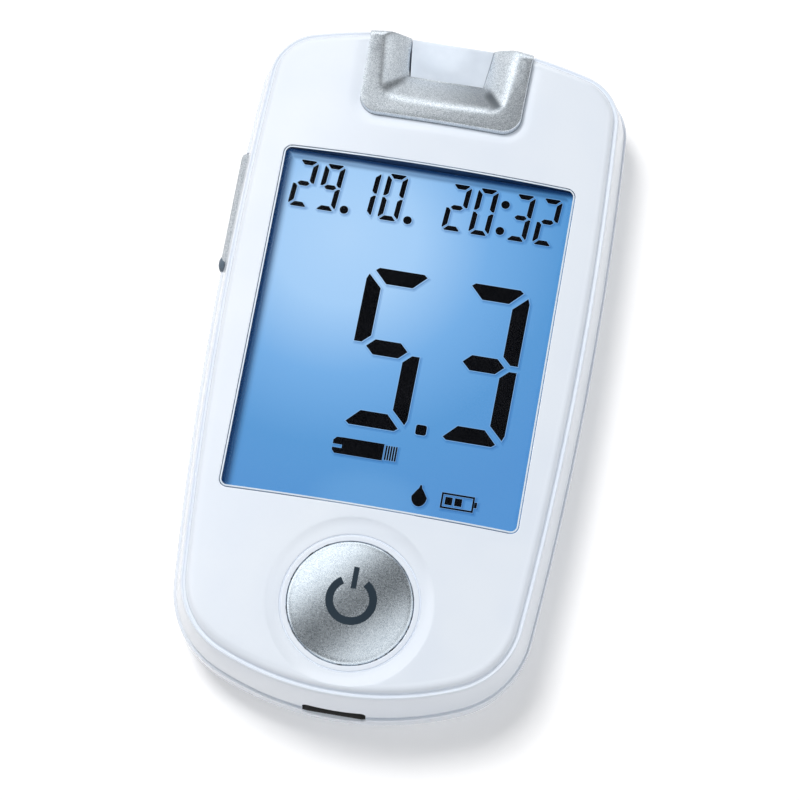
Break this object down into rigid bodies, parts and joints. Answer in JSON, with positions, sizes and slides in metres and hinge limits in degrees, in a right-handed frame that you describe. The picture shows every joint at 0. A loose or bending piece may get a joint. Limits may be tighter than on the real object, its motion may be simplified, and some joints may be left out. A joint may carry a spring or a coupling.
{
  "type": "blood glucose meter",
  "caption": "Handheld blood glucose meter: white two-part case, backlit window, round power button, side key, silver strip port, data slot and battery door.",
  "frame": {"origin": "on the flat back, under the middle of the case", "axes": "+Z out of the display, away from the back; +Y along the case toward the strip port; +X to the right of someone reading the display"},
  "size_m": [0.0537, 0.0974, 0.018],
  "materials": {
    "adhesive_dark": "dark printed adhesive frame",
    "black_plastic": "fine matte",
    "board_green": "solder mask",
    "cell_steel": "nickel plated can",
    "chip_black": "moulded epoxy",
    "crystal_can": "drawn can",
    "display_glass": "polished, with blue light behind it",
    "frame_white": "matte white",
    "gold_contact": "gold plated",
    "led_body": "pale resin",
    "lens_clear": "clear hard-coated acrylic",
    "light_guide": "clear with diffusing dots",
    "milky_block": "milky clear plastic",
    "shell_white": "gloss white, moulded",
    "silver_paint": "silver flake paint on plastic",
    "spring_steel": "nickel plated",
    "stem_plastic": "natural plastic",
    "zebra_rubber": "layered silicone rubber"
  },
  "bodies": {
    "housing": {"upper_shell": "shell_white", "lower_shell": "shell_white", "display_window": "lens_clear", "window_tape": "adhesive_dark", "port_collar": "silver_paint", "port_light_block": "milky_block", "strip_connector": "black_plastic", "strip_contacts": "gold_contact", "power_switch": "black_plastic", "side_key_pin": "spring_steel", "side_switches": "black_plastic", "lcd_panel": "display_glass", "backlight_plate": "light_guide", "backlight_leds": "led_body", "lcd_frame": "frame_white", "zebra_strip": "zebra_rubber", "main_board": "board_green", "controller_chip": "chip_black", "memory_chip": "chip_black", "crystal": "crystal_can", "buzzer": "gold_contact", "data_socket": "black_plastic", "data_contacts": "gold_contact", "left_cell": "cell_steel", "right_cell": "cell_steel", "negative_contacts": "spring_steel", "positive_contacts": "spring_steel", "case_screws": "spring_steel"},
    "button": {"power_button": "silver_paint", "power_switch_stem": "stem_plastic"},
    "key": {"side_key": "silver_paint", "side_switch_stems": "stem_plastic"},
    "door": {"battery_door": "shell_white"}
  },
  "joints": [
    {"name": "power_button_press", "type": "slide", "parent": "housing", "child": "button", "axis": [0, 0, -1], "range_m": [0, 0.0005], "stiffness_N_per_m": 2000},
    {"name": "side_key_rock", "type": "hinge", "parent": "housing", "child": "key", "pos_m": [-0.0233, 0.01965, 0.008], "axis": [0, 0, 1], "range_deg": [-1.8, 1.8], "stiffness_Nm_per_rad": 0.3},
    {"name": "battery_door_open", "type": "hinge", "parent": "housing", "child": "door", "pos_m": [0, -0.00595, 0], "axis": [1, 0, 0], "range_deg": [0, 60]}
  ]
}
